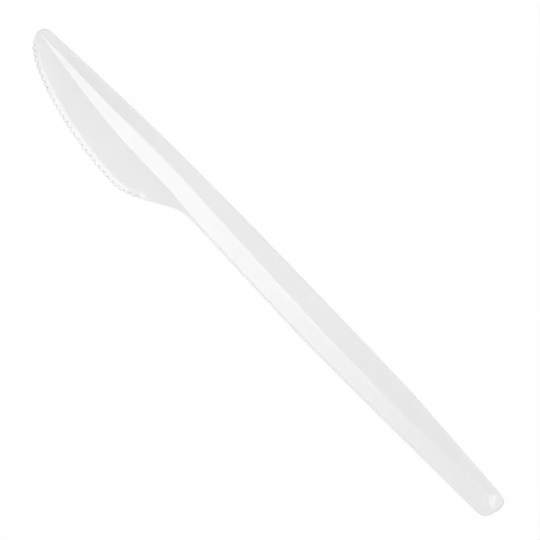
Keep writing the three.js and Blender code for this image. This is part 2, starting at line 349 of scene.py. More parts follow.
@dataclass
class Outline:
    """The knife's outline in plan, with the line through the teeth's tips for its edge."""

    length: float = 165.0
    gate_stub: float = 0.4
    gate_start: float = 0.25
    gate_slack: float = 0.25
    nose_radius: float = 2.4
    nose_drop: float = 1.53
    nose_end: float = 227.0
    blade: tuple[float, float] = (30.5, 2.7)
    neck: tuple[float, float] = (56.75, 3.77)
    grip: tuple[float, float] = (93.0, 4.45)
    spine_shoulder: tuple[float, float] = (129.0, 4.77)
    spine_end: float = 3.44
    neck_depth: float = 5.83
    grip_shoulder: tuple[float, float] = (102.0, -6.05)
    grip_end: float = 3.75
    shoulder_round: float = 9.0
    neck_round: float = 3.2
    end_round_spine: float = 2.3
    end_round_grip: float = 3.46
    blade_depth: float = 14.05
    heel_angle: float = 31.6
    heel_round: float = 4.3
    heel_teeth: float = 0.5
    heel_clear: float = 4.0
    entry_angle: float = 55.0
    entry_pull: float = 6.0
    belly_pull: float = 15.2
    serration: SerratedEdge = field(default_factory=SerratedEdge)

    def __post_init__(self) -> None:
        """Works out the corners, the three sides and the columns of the outline."""
        self.body_end = self.length - self.gate_stub
        self.nose = np.array([self.nose_radius, -self.nose_drop])
        self.end_middle = np.array([self.body_end, (self.spine_end - self.grip_end) / 2])
        self.end_split = np.array([self.body_end, -self.gate_start])
        self.spine_side = self._spine_side()
        self.edge_side = self._edge_side()
        steps = np.linalg.norm(np.diff(self.edge_side, axis=0), axis=1)
        self.edge_runs = np.concatenate([[0.0], np.cumsum(steps)])
        self.edge_length = float(self.edge_runs[-1])
        self.grip_side = self._grip_side()
        self._lay_columns()

    def _spine_side(self) -> np.ndarray:
        """Gives the spine from the gate's square side to the last plain point of the nose.

        Returns:
            The side's points, one a row.
        """
        shoulder = np.array(self.spine_shoulder)
        end = np.array([self.body_end, self.spine_end])
        rounding = corner(self.end_split, end, shoulder, self.end_round_spine)
        top = self.nose + [0.0, self.nose_radius]
        turns = np.linspace(90.0, self.nose_end, 44)
        return np.vstack(
            [
                bezier([self.end_split, rounding[0]], 6),
                bezier(rounding, 18),
                bezier([rounding[2], shoulder], 44),
                spline(np.array([shoulder, self.grip, self.neck, self.blade, top]), 36),
                [polar(self.nose, self.nose_radius, turn) for turn in turns],
            ]
        )

    def _edge_side(self) -> np.ndarray:
        """Gives the line through the teeth's tips, from the first tooth onto the straight heel.

        Returns:
            The line's points, one a row.
        """
        reach = self.nose_radius + self.serration.tooth_depth
        half_tooth = math.degrees(self.serration.pitch_tip / 2 / reach)
        first = polar(self.nose, reach, self.nose_end + half_tooth)
        neck = np.array([self.neck[0], -self.neck_depth])
        run = (self.blade_depth - self.neck_depth) / math.tan(math.radians(self.heel_angle))
        heel = np.array([neck[0] - run, -self.blade_depth])
        lowest = heel - [self.heel_round, 0.0]
        entry = polar(first, self.entry_pull, -self.entry_angle)
        rounding = corner(lowest, heel, neck, self.heel_round)
        last = corner(neck, heel, neck, self.heel_round + self.heel_teeth)[2]
        return np.vstack(
            [
                bezier([first, entry, lowest - [self.belly_pull, 0.0], lowest], 1200),
                bezier(rounding, 300),
                bezier([rounding[2], last], 20),
                [last],
            ]
        )

    def _grip_side(self) -> np.ndarray:
        """Gives the straight heel and the handle's lower side, up to the gate's square side.

        Returns:
            The side's points, one a row.
        """
        neck = np.array([self.neck[0], -self.neck_depth])
        shoulder = np.array(self.grip_shoulder)
        end = np.array([self.body_end, -self.grip_end])
        at_neck = corner(self.edge_side[-1], neck, shoulder, self.neck_round)
        at_shoulder = corner(neck, shoulder, end, self.shoulder_round)
        at_end = corner(shoulder, end, self.end_split, self.end_round_grip)
        return np.vstack(
            [
                bezier([self.edge_side[-1], at_neck[0]], 16),
                bezier(at_neck, 16),
                bezier([at_neck[2], at_shoulder[0]], 44),
                bezier(at_shoulder, 14),
                bezier([at_shoulder[2], at_end[0]], 52),
                bezier(at_end, 18),
                bezier([at_end[2], self.end_split], 2),
                [self.end_split],
            ]
        )

    def _lay_columns(self) -> None:
        """Sets the outline's columns, their normals and their runs along the serrated edge."""
        runs = self.serration.column_runs(self.edge_length)
        edge = np.column_stack([np.interp(runs, self.edge_runs, self.edge_side[:, i]) for i in (0, 1)])
        grip = self.grip_side[1:-1]
        heel = np.linalg.norm(grip - self.edge_side[-1], axis=1) + self.edge_length
        heel[grip[:, 0] > self.neck[0] - self.heel_clear] = OFF_EDGE
        self.columns = np.vstack([self.spine_side, edge, grip])
        self.normals = inward_normals(self.columns, closed=True)
        # The first tooth's corner takes its neighbour's normal, or the rings inside it would fold
        first = len(self.spine_side)
        self.normals[first] = self.normals[first + 1]
        self.runs = np.concatenate([np.full(first, OFF_EDGE), runs, heel])

    def gate_push(self) -> np.ndarray:
        """Tells how far the gate's stub stands out at each column, along the outward normal.

        Returns:
            One distance for each column, zero away from the stub.
        """
        push = -self.normals @ np.array([self.gate_stub, -self.gate_slack])
        near = (self.columns[:, 0] > self.body_end - self.end_round_spine) & (
            self.columns[:, 1] >= -self.gate_start
        )
        return np.where(near, np.maximum(push, 0.0), 0.0)


@dataclass
class Roof:
    """The two long facets, the narrow crest on their ridge and the sloping facet at the handle's end."""

    outline: Outline
    rim_land: float = 0.6
    facet_angle: float = 23.0
    steepest_angle: float = 27.0
    crest_cut: float = 0.03
    crest_lean: float = 0.75
    crest_round: float = 0.02
    crease_round: float = 0.1
    hip_length: float = 4.7
    hip_turn: float = 35.0
    hip_clear: float = 0.05
    neck_flare: float = 2.6
    least_width: float = 0.02
    ridge_knots: tuple[tuple[float, float], ...] = (
        (8.0, -1.32),
        (25.0, -1.15),
        (41.0, -0.38),
        (93.0, -0.97),
        (129.0, -0.6),
        (145.0, 0.08),
        (160.3, 1.2),
    )
    valley_knots: tuple[tuple[float, float], ...] = ((5.6, -2.1), (30.5, -4.55), (56.75, -4.95))

    def __post_init__(self) -> None:
        """Works out the feet of the facets, the ridge, the valley and the end facet's fall."""
        outline = self.outline
        self.slope = math.tan(math.radians(self.facet_angle))
        self.steepest = math.tan(math.radians(self.steepest_angle))
        self.spine_foot = self._inset(outline.spine_side)
        grip_foot = self._inset(outline.grip_side)
        self.grip_foot = grip_foot[grip_foot[:, 0] < outline.body_end - self.rim_land]
        start = (self.rim_land, -outline.nose_drop)
        self.flare_end = outline.neck[0] + self.neck_flare
        merge = float(np.interp(self.flare_end, self.grip_foot[:, 0], self.grip_foot[:, 1]))
        self.ridge = smooth_line([start, *self.ridge_knots, tuple(outline.end_middle)])
        self.valley = smooth_line([start, *self.valley_knots, (self.flare_end, merge)])
        self.apex = np.array([outline.length - self.hip_length, self.ridge_knots[-1][1]])
        turn = math.radians(self.hip_turn)
        self.hip_way = np.array([math.cos(turn), math.sin(turn)])
        self.hip_height = self.slope * float(distance_to_line(self.apex[None], self.spine_foot)[0])
        end = np.array([outline.body_end - self.rim_land - self.hip_clear, outline.end_middle[1]])
        self.hip_slope = self.hip_height / float((end - self.apex) @ self.hip_way)

    def _inset(self, side: np.ndarray) -> np.ndarray:
        """Gives the foot of a facet, the width of the rim's land inside a side of the outline."""
        return side + self.rim_land * inward_normals(side, closed=False)

    def lower_foot(self, x: np.ndarray) -> np.ndarray:
        """Gives the lower foot of the roof: the valley along the blade, then the handle's rim."""
        rim = np.interp(x, self.grip_foot[:, 0], self.grip_foot[:, 1])
        return np.where(x < self.flare_end, self.valley(x), rim)

    def slopes(self, x: np.ndarray) -> tuple[np.ndarray, np.ndarray]:
        """Gives the slopes of the two facets, which meet on the ridge and flatten towards the tip.

        Args:
            x: stations along the knife.

        Returns:
            The slope on the spine side and the one on the edge side, for each station.
        """
        ridge = self.ridge(x)
        upper = distance_to_line(np.column_stack([x, ridge]), self.spine_foot)
        upper = np.maximum(upper, self.least_width)
        lower = np.maximum(ridge - self.lower_foot(x), self.least_width)
        height = np.minimum(self.slope * upper, self.steepest * lower)
        return height / upper, height / lower

    def height(self, places: np.ndarray) -> np.ndarray:
        """Gives the height of the roof over the plate.

        Args:
            places: places in plan within the rim, one a row.

        Returns:
            One height for each place, zero where there is no roof.
        """
        x, y = places.T
        upper_slope, lower_slope = self.slopes(x)
        ridge, foot = self.ridge(x), self.lower_foot(x)
        upper = upper_slope * distance_to_line(places, self.spine_foot)
        lower = lower_slope * (y - foot)
        # The crest lies a little below the line where the facets would meet, and leans to the edge side
        peak = lower_slope * (ridge - foot)
        crest = peak * (1 - self.crest_cut) + self.crest_lean * lower_slope * (y - ridge)
        hip = self.hip_height - self.hip_slope * ((places - self.apex) @ self.hip_way)
        facets = soft_minimum(soft_minimum(upper, lower, self.crest_round), crest, self.crest_round)
        return np.maximum(soft_minimum(facets, hip, self.crease_round), 0.0)


@dataclass
class MeshPlan:
    """Collects points and faces, and joins points that fall together."""

    points: list[tuple[float, float, float]] = field(default_factory=list)
    marks: list[tuple[float, float, float, float, float, float]] = field(default_factory=list)
    faces: list[list[int]] = field(default_factory=list)
    known: dict[tuple[int, int, int], int] = field(default_factory=dict)
    cells_per_mm: int = 2000

    def point(
        self, x: float, y: float, z: float, mark: tuple[float, ...] = (OFF_EDGE, 0, 0, 0, 0, 0)
    ) -> int:
        """Adds a point, or finds the one that is there already.

        Args:
            x: station in millimetres.
            y: place across in millimetres.
            z: height in millimetres.
            mark: run, inset, inward x, inward y, lift and level, for the teeth.

        Returns:
            The point's number.
        """
        key = tuple(round(value * self.cells_per_mm) for value in (x, y, z))
        if key not in self.known:
            self.known[key] = len(self.points)
            self.points.append((x, y, z))
            self.marks.append(mark)
        return self.known[key]

    def face(self, corners: list[int]) -> None:
        """Adds a face, leaving out corners that fall together.

        Args:
            corners: the numbers of its points, in order.
        """
        kept = [c for i, c in enumerate(corners) if c != corners[i - 1]]
        if len(set(kept)) == len(kept) and len(kept) > 2:
            self.faces.append(kept)

    def band(self, rows: list[list[int]], closed: bool) -> None:
        """Joins rows of points by a band of faces.

        Args:
            rows: the numbers of each row's points, all rows of one length.
            closed: whether each row is a loop.
        """
        for low, high in zip(rows, rows[1:]):
            last = len(low) if closed else len(low) - 1
            for i in range(last):
                j = (i + 1) % len(low)
                self.face([low[i], low[j], high[j], high[i]])


@dataclass
class KnifeBody:
    """The whole moulding: plate with a rounded rim, roof, hollow underside and serrated edge."""

    outline: Outline
    roof: Roof
    plate: float = 1.1
    wall: float = 1.3
    rim_round: float = 0.3
    edge_round_share: float = 0.3
    rim_ring: float = 0.4
    rim_steps: int = 6
    gate_section: tuple[tuple[float, float], ...] = (
        (0.0, 1.0),
        (0.9, 1.0),
        (1.0, 0.9),
        (1.0, 0.1),
        (0.9, 0.0),
        (0.0, 0.0),
    )
    hollow_round: float = 0.08
    no_bevel: float = 2.0
    # Where the mesh has its points: distances from a line, or a start, an end and a step
    strip_rows: tuple[float, ...] = (0.4, 0.6, 0.85, 1.15, 1.5, 1.85, 2.2, 2.45, 2.65)
    strip_overrun: float = 0.6
    crest_rows: tuple[float, float, float] = (-0.7, 0.31, 0.1)
    land_rows: tuple[float, ...] = (0.0, 0.2)
    foot_rows: tuple[float, ...] = (-0.2, 0.0, 0.2)
    hollow_rows: tuple[float, ...] = (-0.12, 0.12)
    least_slope: float = 0.1
    stations: tuple[tuple[float, float, float], ...] = ((0.6, 6.0, 0.25), (6.0, 164.0, 0.5))
    fillings: tuple[tuple[float, float, float], ...] = (
        (0.5, 6.0, 0.3),
        (6.0, 156.0, 0.8),
        (156.0, 164.5, 0.22),
    )
    filled_width: tuple[float, float] = (-14.0, 5.0)
    fill_row: float = 0.87
    fill_gap: float = 0.4
    line_gap: float = 0.09
    loop_gap: float = 0.002
    smallest: float = 1e-5

    def __post_init__(self) -> None:
        """Works out where the teeth's strip is, and the plate's thickness and rounding at each column."""
        teeth = self.outline.serration
        runs, edge_length = self.outline.runs, self.outline.edge_length
        strip_end = edge_length + teeth.run_out + self.strip_overrun
        self.on_edge = (runs >= teeth.shortest_column) & (runs <= strip_end)
        self.lifts = [
            teeth.lift(run, edge_length) if on_edge else self.no_bevel
            for run, on_edge in zip(runs, self.on_edge)
        ]
        self.thickness = [self.plate - self.bevel(0.0, lift) for lift in self.lifts]
        self.rounding = [min(self.rim_round, self.edge_round_share * thick) for thick in self.thickness]

    def bevel(self, inset: float, lift: float) -> float:
        """Gives how deep the bevel is ground.

        Args:
            inset: distance from the line of the teeth's tips.
            lift: how far the bevel has run out of the panel.

        Returns:
            The depth below the plate's upper face.
        """
        teeth = self.outline.serration
        ground = max(1 - inset / teeth.bevel_width, 0.0) ** 2
        return (self.plate - teeth.edge_thickness) * max(ground - lift, 0.0)

    def gap_depths(self) -> tuple[float, float]:
        """Gives the depth of the teeth's gaps at the under face and where their walls reach the bevel.

        Returns:
            The depth below and the depth above.
        """
        teeth = self.outline.serration
        lean = math.tan(math.radians(teeth.gap_lean))
        above = teeth.tooth_depth
        for _ in range(8):
            above = teeth.tooth_depth + (self.plate / 2 - self.bevel(above, 0.0)) * lean
        return teeth.tooth_depth - self.plate / 2 * lean, above

    def upper(self, places: np.ndarray) -> np.ndarray:
        """Gives the height of the upper face, apart from the bevel."""
        return self.plate + self.roof.height(places)

    def under(self, places: np.ndarray) -> np.ndarray:
        """Gives the height of the under face, which is hollow below the roof."""
        hollow = self.plate + self.roof.height(places) - self.wall
        return np.maximum(-soft_minimum(-hollow, np.zeros(len(places)), self.hollow_round), 0.0)

    def build(self, name: str) -> bpy.types.Object:
        """Builds the knife with a plain edge, marked for the teeth.

        Args:
            name: the object's name.

        Returns:
            The object, with its place in its mesh.
        """
        plan = MeshPlan()
        self._rim(plan)
        for face in Face:
            self._strip(plan, face)
            self._cover(plan, face)
        return self._to_object(plan, name)

    def dress(self, piece: bpy.types.Object, material: bpy.types.Material) -> None:
        """Cuts the teeth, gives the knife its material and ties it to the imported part.

        Args:
            piece: the knife with a plain, marked edge.
            material: what the knife is made of.
        """
        ToothCutter(self).cut(piece, material)
        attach(piece, "root")
        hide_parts("knife")

    def _column_point(self, plan: MeshPlan, i: int, inset: float, z: float, level: float) -> int:
        """Adds a point on a column, with the bevel taken off its height.

        Args:
            plan: the mesh so far.
            i: the column's number.
            inset: distance from the outline into the knife, negative outside.
            z: height of the point on a plain plate.
            level: one on the upper face, zero on the under face.

        Returns:
            The point's number.
        """
        inward = self.outline.normals[i]
        x, y = self.outline.columns[i] + inward * inset
        run = self.outline.runs[i] if self.on_edge[i] else OFF_EDGE
        depth = max(inset, 0.0)
        mark = (run, depth, inward[0], inward[1], self.lifts[i], level)
        return plan.point(x, y, z - self.bevel(depth, self.lifts[i]) * level, mark)

    def _rim(self, plan: MeshPlan) -> None:
        """Lays the rim's rings: rounded above and below, with the gate's stub on its side.

        Args:
            plan: the mesh so far.
        """
        push = self.outline.gate_push()
        gate = int(np.argmax(push > 0))
        order = [*range(gate + 1), *range(gate, len(push))]
        pushed = [0.0] * (gate + 1) + list(push[gate:])
        turns = np.linspace(0.0, math.pi / 2, self.rim_steps)
        profile = [(1 - math.sin(turn), 1 - math.cos(turn)) for turn in turns]
        size = self.rounding
        rows = [[self._column_point(plan, i, self.rim_ring, self.plate, 1.0) for i in order]]
        for inset, drop in profile:
            rows.append(
                [
                    self._column_point(plan, i, inset * size[i], self.plate - drop * size[i], 1.0)
                    for i in order
                ]
            )
        for share, height in self.gate_section:
            rows.append(
                [self._side_point(plan, i, share * out, height) for i, out in zip(order, pushed)]
            )
        for inset, drop in profile[::-1]:
            rows.append(
                [self._column_point(plan, i, inset * size[i], drop * size[i], 0.0) for i in order]
            )
        rows.append([self._column_point(plan, i, self.rim_ring, 0.0, 0.0) for i in order])
        plan.band(rows[::-1], closed=True)

    def _side_point(self, plan: MeshPlan, i: int, push: float, height: float) -> int:
        """Adds a point on the rim's side.

        Args:
            plan: the mesh so far.
            i: the column's number.
            push: how far the gate's stub pushes the point out.
            height: zero at the lower rounding, one at the upper one.

        Returns:
            The point's number.
        """
        low = self.rounding[i]
        high = self.thickness[i] - low
        level = height if self.on_edge[i] else 0.0
        z = low + (high - low) * height
        return self._column_point(plan, i, -push, z + self.bevel(0.0, self.lifts[i]) * level, level)

    def _strip(self, plan: MeshPlan, face: Face) -> None:
        """Lays the rows of points along the serrated edge, where the teeth are cut.

        Args:
            plan: the mesh so far.
            face: the upper or the under face.
        """
        columns = np.flatnonzero(self.on_edge)
        z = self.plate if face is Face.UPPER else 0.0
        rows = [
            [self._column_point(plan, i, inset, z, face.value) for i in columns]
            for inset in self.strip_rows
        ]
        plan.band(rows if face is Face.UPPER else rows[::-1], closed=False)

    def _loop(self) -> np.ndarray:
        """Gives the loop in plan that the strip and the rim leave open.

        Returns:
            The loop's points, one a row.
        """
        columns, normals = self.outline.columns, self.outline.normals
        loop = []
        for i, on_edge in enumerate(self.on_edge):
            before = self.on_edge[i - 1]
            after = self.on_edge[(i + 1) % len(columns)]
            rows = self.strip_rows[-1:] if on_edge else (self.rim_ring,)
            if on_edge and not before:
                rows = self.strip_rows
            elif on_edge and not after:
                rows = self.strip_rows[::-1]
            loop.extend(columns[i] + normals[i] * inset for inset in rows)
        loop = np.array(loop)
        return loop[np.linalg.norm(loop - np.roll(loop, 1, axis=0), axis=1) > self.smallest]

    def _feature_lines(self, face: Face) -> list[np.ndarray]:
        """Gives the lines in plan along which a face bends.

        Args:
            face: the upper or the under face.

        Returns:
            The lines' points.
        """
        roof = self.roof
        x = np.concatenate([np.arange(*stretch) for stretch in self.stations])
        ridge = roof.ridge(x)
        foot = roof.lower_foot(x)
        before_hip = x < roof.apex[0]
        lines = [
            np.column_stack([x, ridge + off])[before_hip] for off in np.arange(*self.crest_rows)
        ]
        spine = self.outline.spine_side
        normals = inward_normals(spine, closed=False)
        if face is Face.UPPER:
            lines += [spine + normals * (roof.rim_land + off) for off in self.land_rows]
            lines += [np.column_stack([x, foot + off]) for off in self.foot_rows]
        else:
            sunk = self.wall - self.plate
            slope = np.maximum(roof.slopes(spine[:, 0])[0], self.least_slope)[:, None]
            step = roof.rim_land + sunk / slope
            lines += [spine + normals * (step + off) for off in self.hollow_rows]
            step = sunk / np.maximum(roof.slopes(x)[1], self.least_slope)
            lines += [np.column_stack([x, foot + step + off]) for off in self.hollow_rows]
        return lines

    def _cover(self, plan: MeshPlan, face: Face) -> None:
        """Fills a broad face with triangles that follow its bends.

        Args:
            plan: the mesh so far.
            face: the upper or the under face.
        """
        loop = self._loop()
        closed_loop = np.vstack([loop, loop[:1]])
        lines = [closed_loop]
        edges = [(i, (i + 1) % len(loop)) for i in range(len(loop))]
        start = len(loop)
        for line in self._feature_lines(face):
            keep = inside(line, loop)
            for other in lines:
                keep &= distance_to_line(line, other) > self.line_gap
            for i in np.flatnonzero(keep[:-1] & keep[1:]):
                number = start + int(np.count_nonzero(keep[:i]))
                edges.append((number, number + 1))
            lines.append(line[keep])
            start += int(np.count_nonzero(keep))
        flat = np.vstack([loop, *lines[1:], self._filler(loop, lines)])
        made, _, triangles, origins, _, _ = delaunay_2d_cdt(
            [Vector(p) for p in flat], edges, [], 0, self.smallest, True
        )
        places = np.array([flat[o[0]] if o else tuple(p) for p, o in zip(made, origins)])
        heights = self.upper(places) if face is Face.UPPER else self.under(places)
        on_loop = distance_to_line(places, closed_loop) < self.loop_gap
        heights[on_loop] = self.plate if face is Face.UPPER else 0.0
        numbers = [plan.point(x, y, z) for (x, y), z in zip(places, heights)]
        corners = places[np.array(triangles)]
        sides = corners[:, 1:] - corners[:, :1]
        area = np.abs(sides[:, 0, 0] * sides[:, 1, 1] - sides[:, 0, 1] * sides[:, 1, 0])
        within = inside(corners.mean(axis=1), loop) & (area > self.smallest)
        for triangle, kept in zip(triangles, within):
            turn = triangle if face is Face.UPPER else triangle[::-1]
            if kept:
                plan.face([numbers[i] for i in turn])

    def _filler(self, loop: np.ndarray, lines: list[np.ndarray]) -> np.ndarray:
        """Gives evenly spread points between the lines, closer together at both ends.

        Args:
            loop: the face's boundary.
            lines: the closed boundary and the lines along which the face bends.

        Returns:
            The points, one a row.
        """
        found = []
        for low, high, step in self.fillings:
            rows = np.arange(*self.filled_width, step * self.fill_row)
            x, y = np.meshgrid(np.arange(low, high, step), rows)
            x = x + (np.arange(len(y)) % 2)[:, None] * step / 2
            places = np.column_stack([x.ravel(), y.ravel()])
            places = places[inside(places, loop)]
            for line in lines:
                places = places[distance_to_line(places, line) > self.fill_gap * step]
            found.append(places)
        return np.vstack(found)

    def _to_object(self, plan: MeshPlan, name: str) -> bpy.types.Object:
        """Turns the plan into an object in the part's frame, in metres.

        Args:
            plan: the finished plan of points and faces.
            name: the object's name.

        Returns:
            The object, linked to the scene.
        """
        low, high = cad_box
        across = high.y / MM - self.outline.spine_shoulder[1]
        points = np.array(plan.points) + [-self.outline.length / 2, across, low.z / MM]
        mesh = bpy.data.meshes.new(name)
        mesh.from_pydata(np.clip(points * MM, low, high), [], plan.faces)
        marks = np.array(plan.marks)
        scale = np.array([MM, MM, 1.0, 1.0, 1.0, 1.0])
        for label, column in (("run", 0), ("inset", 1), ("lift", 4), ("level", 5)):
            layer = mesh.attributes.new(label, "FLOAT", "POINT")
            layer.data.foreach_set("value", (marks[:, column] * scale[column]).astype(np.float32))
        inward = np.column_stack([marks[:, 2:4], np.zeros(len(marks))])
        layer = mesh.attributes.new("inward", "FLOAT_VECTOR", "POINT")
        layer.data.foreach_set("vector", inward.astype(np.float32).ravel())
        mesh.update()
        piece = bpy.data.objects.new(name, mesh)
        bpy.context.scene.collection.objects.link(piece)
        return piece


@dataclass
class ToothCutter:
    """Cuts the teeth with a tree of geometry nodes that moves the marked edge inwards."""

    body: KnifeBody
    sharp_angle: float = 38.0

    def tree(self) -> bpy.types.NodeTree:
        """Builds the tree: gaps at a growing pitch, each with a sharp root and rounded tips.

        Returns:
            The tree, with the sizes of the teeth and of the bevel as inputs.
        """
        tree = bpy.data.node_groups.new("serrated_edge", "GeometryNodeTree")
        sockets = tree.interface
        sockets.new_socket("Geometry", in_out="INPUT", socket_type="NodeSocketGeometry")
        for label in (
            "First pitch",
            "Pitch growth",
            "Gaps",
            "Depth below",
            "Depth above",
            "Strip width",
            "Bevel depth",
            "Bevel width",
        ):
            sockets.new_socket(label, in_out="INPUT", socket_type="NodeSocketFloat")
        sockets.new_socket("Material", in_out="INPUT", socket_type="NodeSocketMaterial")
        sockets.new_socket("Geometry", in_out="OUTPUT", socket_type="NodeSocketGeometry")
        known = dict(add_node(tree, "NodeGroupInput", {}).outputs.items())
        for label, kind in MARKS.items():
            node = add_node(tree, "GeometryNodeInputNamedAttribute", {"data_type": kind}, Name=label)
            known[label] = node.outputs["Attribute"]
        for label, operation, *values in self._sums():
            inputs = {f"i{i}": known.get(value, value) for i, value in enumerate(values)}
            known[label] = add_node(tree, "ShaderNodeMath", {"operation": operation}, **inputs).outputs[0]
        up = add_node(tree, "ShaderNodeCombineXYZ", {}, Z=known["rise"]).outputs[0]
        way = add_node(
            tree,
            "ShaderNodeVectorMath",
            {"operation": "MULTIPLY_ADD"},
            i0=known["inward"],
            i1=known["shift"],
            i2=up,
        ).outputs[0]
        shaped = add_node(tree, "GeometryNodeSetPosition", {}, Geometry=known["Geometry"], Offset=way)
        whole = add_node(tree, "GeometryNodeRealizeInstances", {}, Geometry=shaped.outputs["Geometry"])
        dressed = add_node(
            tree,
            "GeometryNodeSetMaterial",
            {},
            Geometry=whole.outputs["Geometry"],
            Material=known["Material"],
        )
        add_node(tree, "NodeGroupOutput", {}, Geometry=dressed.outputs["Geometry"])
        return tree

    def _sums(self) -> list[tuple[object, ...]]:
        """Lists the sums that lead from a point's marks to its shift inwards and its rise.

        Returns:
            For each sum its name, its operation, and its values or the names of earlier ones.
        """
        # Place among the teeth: whole numbers at their tips, halves at the gaps' roots
        sums = [
            ("on_edge", "MAXIMUM", "run", 0.0),
            ("growing", "MULTIPLY", "Pitch growth", "on_edge"),
            ("squared_pitch", "MULTIPLY", "First pitch", "First pitch"),
            ("under_root", "MULTIPLY_ADD", "growing", 4.0, "squared_pitch"),
            ("root", "SQRT", "under_root"),
            ("past_pitch", "SUBTRACT", "root", "First pitch"),
            ("two_teeth", "DIVIDE", "past_pitch", "Pitch growth"),
            ("tooth", "DIVIDE", "two_teeth", 2.0),
        ]
        # Depth of the gap there, which grows with the height and fades across the strip
        sums += [
            ("half_to_root", "PINGPONG", "tooth", 0.5),
            ("to_root", "MULTIPLY", "half_to_root", 2.0),
            ("round_tips", "POWER", "to_root", 2.0),
            ("on_teeth", "LESS_THAN", "tooth", "Gaps"),
            ("cut", "MULTIPLY", "round_tips", "on_teeth"),
            ("lean", "SUBTRACT", "Depth above", "Depth below"),
            ("depth", "MULTIPLY_ADD", "lean", "level", "Depth below"),
            ("across", "DIVIDE", "inset", "Strip width"),
            ("left", "SUBTRACT", 1.0, "across"),
            ("fade", "MAXIMUM", "left", 0.0),
            ("whole_cut", "MULTIPLY", "cut", "depth"),
            ("shift", "MULTIPLY", "whole_cut", "fade"),
            ("moved_inset", "ADD", "inset", "shift"),
        ]
        # Depth of the bevel where the point was and where it comes to
        for when, inset in (("before", "inset"), ("after", "moved_inset")):
            sums += [
                (f"share_{when}", "DIVIDE", inset, "Bevel width"),
                (f"left_{when}", "SUBTRACT", 1.0, f"share_{when}"),
                (f"on_bevel_{when}", "MAXIMUM", f"left_{when}", 0.0),
                (f"ground_{when}", "POWER", f"on_bevel_{when}", 2.0),
                (f"lifted_{when}", "SUBTRACT", f"ground_{when}", "lift"),
                (f"kept_{when}", "MAXIMUM", f"lifted_{when}", 0.0),
                (f"bevel_{when}", "MULTIPLY", f"kept_{when}", "Bevel depth"),
            ]
        sums += [
            ("moved", "SUBTRACT", "bevel_before", "bevel_after"),
            ("rise", "MULTIPLY", "moved", "level"),
        ]
        return sums

    def cut(self, piece: bpy.types.Object, material: bpy.types.Material) -> None:
        """Cuts the teeth into a piece and leaves it a plain mesh.

        Args:
            piece: the knife with a plain, marked edge.
            material: what the piece is made of.
        """
        outline = self.body.outline
        teeth = outline.serration
        first, growth = teeth.root_law(outline.edge_length)
        below, above = self.body.gap_depths()
        sizes = {
            "First pitch": first * MM,
            "Pitch growth": growth * MM,
            "Gaps": float(teeth.gaps(outline.edge_length)),
            "Depth below": below * MM,
            "Depth above": above * MM,
            "Strip width": self.body.strip_rows[-1] * MM,
            "Bevel depth": (self.body.plate - teeth.edge_thickness) * MM,
            "Bevel width": teeth.bevel_width * MM,
            "Material": material,
        }
        modifier = piece.modifiers.new("serrated_edge", "NODES")
        modifier.node_group = self.tree()
        for item in modifier.node_group.interface.items_tree:
            if item.item_type == "SOCKET" and item.name in sizes:
                modifier[item.identifier] = sizes[item.name]
        graph = bpy.context.evaluated_depsgraph_get()
        graph.update()
        finished = bpy.data.meshes.new_from_object(piece.evaluated_get(graph))
        piece.modifiers.clear()
        plain = piece.data
        piece.data = finished
        bpy.data.meshes.remove(plain)
        for label in MARKS:
            finished.attributes.remove(finished.attributes[label])
        self._smooth(finished)

    def _smooth(self, mesh: bpy.types.Mesh) -> None:
        """Turns the faces outwards and shades them smooth, with the teeth's roots left sharp.

        Args:
            mesh: the finished mesh.
        """
        work = bmesh.new()
        work.from_mesh(mesh)
        bmesh.ops.recalc_face_normals(work, faces=work.faces[:])
        open_edges = sum(not edge.is_manifold for edge in work.edges)
        if open_edges:
            LOG.warning("the knife has %d open edges", open_edges)
        work.to_mesh(mesh)
        work.free()
        mesh.shade_smooth()
        mesh.set_sharp_from_angle(angle=math.radians(self.sharp_angle))


